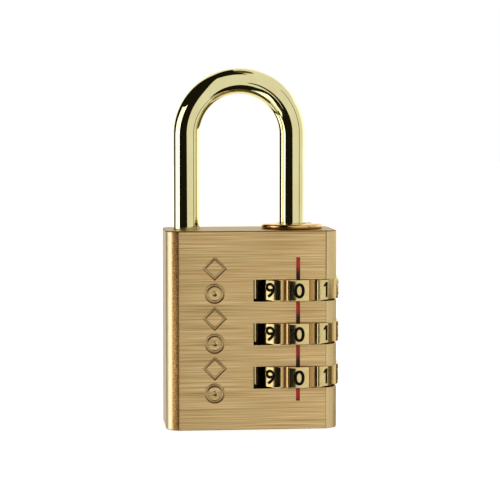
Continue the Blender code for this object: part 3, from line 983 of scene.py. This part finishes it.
# %% [markdown]
# ## Inside the bore
# Each wheel drives a gate sleeve by a key. The sleeve's web has one gate: a fin can pass it only when the
# wheel shows its number. Spacers hold the sleeves at the wheels' heights, and a wave spring under them
# lifts them back after the code is changed. All are turned, with their edges broken.

# %% Gate sleeves
SLEEVE_RADIUS = 4.45 * MM
SLEEVE_HALF = 2.9 * MM
POCKET = 3.4 * MM
GATE_WIDTH = 1.8 * MM
KEY_REACH = 4.8 * MM
KEY_WIDTH = 1.4 * MM
KEY_HALF = 1.0 * MM
WEB_LEVEL = 0.9 * MM
SLEEVE_CLEARANCE = 0.15 * MM
EDGE = 0.12 * MM


def gate_sleeve():
    inside = bar_radius + SLEEVE_CLEARANCE
    section = [
        (POCKET, -SLEEVE_HALF),
        (SLEEVE_RADIUS - EDGE, -SLEEVE_HALF),
        (SLEEVE_RADIUS, EDGE - SLEEVE_HALF),
        (SLEEVE_RADIUS, SLEEVE_HALF - EDGE),
        (SLEEVE_RADIUS - EDGE, SLEEVE_HALF),
        (inside + EDGE, SLEEVE_HALF),
        (inside, SLEEVE_HALF - EDGE),
        (inside, WEB_LEVEL),
        (POCKET, WEB_LEVEL),
    ]
    key = block((-KEY_REACH, -KEY_WIDTH / 2, -KEY_HALF), (EDGE - SLEEVE_RADIUS, KEY_WIDTH / 2, KEY_HALF))
    key.transform(Matrix.Rotation(WHEEL_TURN + math.pi / NUMBERS, 4, "Z"))
    gate = block((-POCKET, -GATE_WIDTH / 2, 0), (-bar_radius / 2, GATE_WIDTH / 2, SLEEVE_HALF + OVER))
    keyed = carve(into_mesh(turned(section, 128)), [into_mesh(key)], "UNION")
    return carve(keyed, [into_mesh(gate)])


sleeve_mesh = gate_sleeve()
for name, height in wheel_z.items():
    copy = sleeve_mesh.copy()
    copy.transform(Matrix.Translation((axis_x, 0, height)))
    stands_for = [f"gate_sleeve_{name}"]
    finish(f"turned_sleeve_{name}", copy, lathe_brass, f"wheel_{name}", stands_for)

# %% [markdown]
# The spacers are plain rings, turned like the sleeves. The wave spring is a flat ring whose height follows
# three sine waves round its edge, so that it can be pressed flat and springs back.

# %% Spacers and the wave spring
WAVE_THICKNESS = 0.3 * MM
WAVES = 3


def spacer(node):
    low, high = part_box(node)
    outside = (high.x - low.x) / 2
    section = [
        (POCKET, low.z),
        (outside - EDGE, low.z),
        (outside, low.z + EDGE),
        (outside, high.z - EDGE),
        (outside - EDGE, high.z),
        (POCKET, high.z),
    ]
    return moved(turned(section, 128), axis_x, 0, 0)


for node in ("seat_ring", "lower_spacer_ring", "upper_spacer_ring", "top_spacer_tube"):
    finish(f"turned_{node}", spacer(node), lathe_brass, "case", [node])


def wave_spring():
    low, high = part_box("code_change_wave_spring")
    thick = WAVE_THICKNESS
    swing = (high.z - low.z - thick) / 2
    outside = (high.x - low.x) / 2
    bm = turned([(POCKET + EDGE, 0), (outside, 0), (outside, thick), (POCKET + EDGE, thick)], 144)
    for vert in bm.verts:
        vert.co.z += swing * (1 + math.sin(WAVES * math.atan2(vert.co.y, vert.co.x)))
    return moved(bm, axis_x, 0, low.z)


finish("wave_spring", wave_spring(), wire_steel, "case", ["code_change_wave_spring"])

# %% [markdown]
# ## Springs and plungers
# The shackle spring stands on the floor of the bore and reaches up into the hollow end of the long leg. On
# the real lock it stretches as the shackle rises; here it is a still coil left on no body. The plungers are
# turned pins with a round nose, and a short coil stands behind each.

# %% Shackle spring
COIL_RADIUS = 1.05 * MM
WIRE_RADIUS = 0.2 * MM
COIL_TURNS = 11
low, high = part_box("shackle_spring")
lift_spring = moved(coil(COIL_RADIUS, WIRE_RADIUS, COIL_TURNS, high.z - low.z), axis_x, 0, low.z)
spring = finish("lift_spring", lift_spring, wire_steel, None, ["shackle_spring"])
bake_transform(spring)

# %% Plungers and their springs
SMALL_COIL = 0.65 * MM
SMALL_WIRE = 0.15 * MM
SMALL_TURNS = 5
LYING = Matrix.Rotation(math.pi / 2, 4, "Y")


def plunger(low, high):
    radius = (high.z - low.z) / 2
    length = high.x - low.x
    arc = [math.radians(a) for a in range(0, 91, 10)]
    nose = [(radius * math.sin(a), length - radius * (1 - math.cos(a))) for a in arc]
    bm = turned(nose + [(radius, EDGE), (radius - EDGE, 0), (0, 0)], 48)
    return moved(bm, low.x, 0, (low.z + high.z) / 2, turn=LYING)


for name, height in wheel_z.items():
    pin = plunger(*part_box(f"detent_plunger_{name}"))
    finish(f"plunger_{name}", pin, wire_steel, "case", [f"detent_plunger_{name}"])
    low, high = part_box(f"detent_spring_{name}")
    wire = coil(SMALL_COIL, SMALL_WIRE, SMALL_TURNS, high.x - low.x, steps=30, sides=10)
    behind = moved(wire, low.x, 0, height, turn=LYING)
    stands_for = [f"detent_spring_{name}"]
    finish(f"plunger_spring_{name}", behind, wire_steel, "case", stands_for)

# %% [markdown]
# ## Floor and light
# Polished brass shows the room more than itself, so the room is built as a product photographer builds it:
# a white tent all round, a bright soft box on the left, and black flags between them that draw the dark
# lines along the bar. Each sheet is bent round the lock, and given by the bearing and the height angle of
# its four corners. Only reflections see these sheets.

# %% Tent and bent sheets
scene = bpy.context.scene
scene.view_settings.view_transform = "Standard"
world = bpy.data.worlds.new("white_tent")
scene.world = world
world.use_nodes = True
world.node_tree.nodes["Background"].inputs["Color"].default_value = (1, 1, 1, 1)
world.node_tree.nodes["Background"].inputs["Strength"].default_value = 1.0
SHEET_STEPS = 16
SHEET_LEVEL = 45 * MM


def bent_sheet(name, colour, strength, distance, *corners):
    """Corners are (bearing, height angle) in degrees: bottom left, bottom right, top right, top left."""
    bm = bmesh.new()
    bmesh.ops.create_grid(bm, x_segments=SHEET_STEPS, y_segments=SHEET_STEPS, size=0.5)
    low_left, low_right, high_right, high_left = [Vector(corner) for corner in corners]
    for vert in bm.verts:
        across, up = vert.co.x + 0.5, vert.co.y + 0.5
        bearing, height = low_left.lerp(low_right, across).lerp(high_left.lerp(high_right, across), up)
        level = distance * math.cos(math.radians(height))
        vert.co.x = level * math.sin(math.radians(bearing))
        vert.co.y = -level * math.cos(math.radians(bearing))
        vert.co.z = distance * math.sin(math.radians(height)) + SHEET_LEVEL
    mesh = bpy.data.meshes.new(name)
    bm.to_mesh(mesh)
    bm.free()
    sheet = bpy.data.objects.new(name, mesh)
    scene.collection.objects.link(sheet)
    material = bpy.data.materials.new(name)
    material.use_nodes = True
    tree = material.node_tree
    glow = add(tree, "ShaderNodeEmission", {"Color": linear(colour), "Strength": strength})
    join(tree, tree.nodes["Material Output"].inputs["Surface"], glow)
    mesh.materials.append(material)
    for ray in ("visible_camera", "visible_diffuse", "visible_shadow", "visible_transmission"):
        setattr(sheet, ray, False)
    print(f"{name}: {distance} m away, strength {strength}")


# %% [markdown]
# The bright sheets make the long highlights, and the black ones the dark lines between them. Two of them
# are there for the wheels: the wheel flag darkens the flats, and the near card, only a few centimetres
# away, lights the flats that face left and hardly anything else.

# %% Bright sheets
WHITE = "#FFFFFF"
bent_sheet("soft_box", WHITE, 2.6, 0.9, (-130, -28), (-80, -28), (-57, 28), (-100, 28))
bent_sheet("right_box", WHITE, 1.5, 1.1, (104, -6), (150, -6), (150, 28), (104, 28))
bent_sheet("low_fill", WHITE, 2.4, 0.9, (-70, -62), (-34, -66), (-26, -37), (-62, -35))
bent_sheet("near_card", WHITE, 1.6, 0.075, (-66, -49), (-45, -49), (-45, -18), (-66, -18))
bent_sheet("rear_wall", "#F4EFE2", 1.35, 1.2, (150, -60), (222, -60), (222, 50), (150, 50))

# %% Flags and dim cards
BLACK = "#1C1A14"
bent_sheet("high_flag", BLACK, 1.0, 1.0, (-150, -8.5), (3, -8.5), (-32, 62), (-150, 62))
bent_sheet("low_flag", BLACK, 1.0, 1.0, (-150, -34), (-40, -34), (-34, -8.5), (-150, -8.5))
bent_sheet("low_flag_end", BLACK, 1.0, 1.0, (-40, -36), (-6, -36), (-10, -22), (-34, -8.5))
bent_sheet("floor_flag", BLACK, 1.0, 1.0, (-30, -88), (62, -88), (52, -37), (-22, -33))
bent_sheet("wheel_flag", BLACK, 1.0, 0.98, (-60, -15), (4, -15), (4, -4.6), (-60, -4.6))
bent_sheet("ceiling_flag", BLACK, 1.0, 1.1, (-180, 54), (24, 60), (24, 90), (-180, 90))
bent_sheet("ceiling_end", "#6E5A34", 1.0, 1.1, (24, 72), (180, 72), (180, 90), (24, 90))
bent_sheet("right_card", "#6E5C38", 1.0, 1.0, (92, -40), (150, -40), (150, -6), (92, -6))
bent_sheet("lamp_stand", "#5A5030", 1.0, 0.9, (60, -60), (66, -60), (66, 40), (60, 40))

# %% [markdown]
# The floor is matt white paper. A little light of its own keeps it as white as the tent, and reflections
# pass it by, because the sheets below it are what the brass should show.

# %% Paper floor
FLOOR_HALF = 2.0
bm = bmesh.new()
bmesh.ops.create_grid(bm, x_segments=1, y_segments=1, size=FLOOR_HALF)
floor_mesh = into_mesh(bm, "floor")
floor = bpy.data.objects.new("floor", floor_mesh)
scene.collection.objects.link(floor)
paper = bpy.data.materials.new("white_paper")
paper.use_nodes = True
matt = paper.node_tree.nodes["Principled BSDF"]
matt.inputs["Base Color"].default_value = linear("#F7F7F7")
matt.inputs["Roughness"].default_value = 0.9
matt.inputs["Emission Color"].default_value = linear(WHITE)
matt.inputs["Emission Strength"].default_value = 0.4
floor_mesh.materials.append(paper)
floor.visible_glossy = False
print(f"floor {2 * FLOOR_HALF} m square")

# %% [markdown]
# ## Camera
# A long lens a third of a metre away looks at the lock from a little left of straight ahead and a little
# above. The block shows its top as a thin band and a sliver of its left side.

# %% Camera
YAW = math.radians(5.94)
PITCH = math.radians(4.006)
DISTANCE = 319.8 * MM
SENSOR_MM = 36.0
FOCAL_LENGTH_MM = 129.97
NEAR_LIMIT = 10 * MM
TARGET = Vector((0.241 * MM, 0, 30.926 * MM))
towards = Vector((-math.sin(YAW) * math.cos(PITCH), -math.cos(YAW) * math.cos(PITCH), math.sin(PITCH)))
lens = bpy.data.cameras.new("camera")
lens.sensor_width = SENSOR_MM
lens.lens = FOCAL_LENGTH_MM
lens.clip_start = NEAR_LIMIT
camera = bpy.data.objects.new("camera", lens)
camera.location = TARGET + DISTANCE * towards
camera.rotation_euler = towards.to_track_quat("Z", "Y").to_euler()
scene.collection.objects.link(camera)
scene.camera = camera
print("camera at", [round(1000 * part, 1) for part in camera.location], "mm")
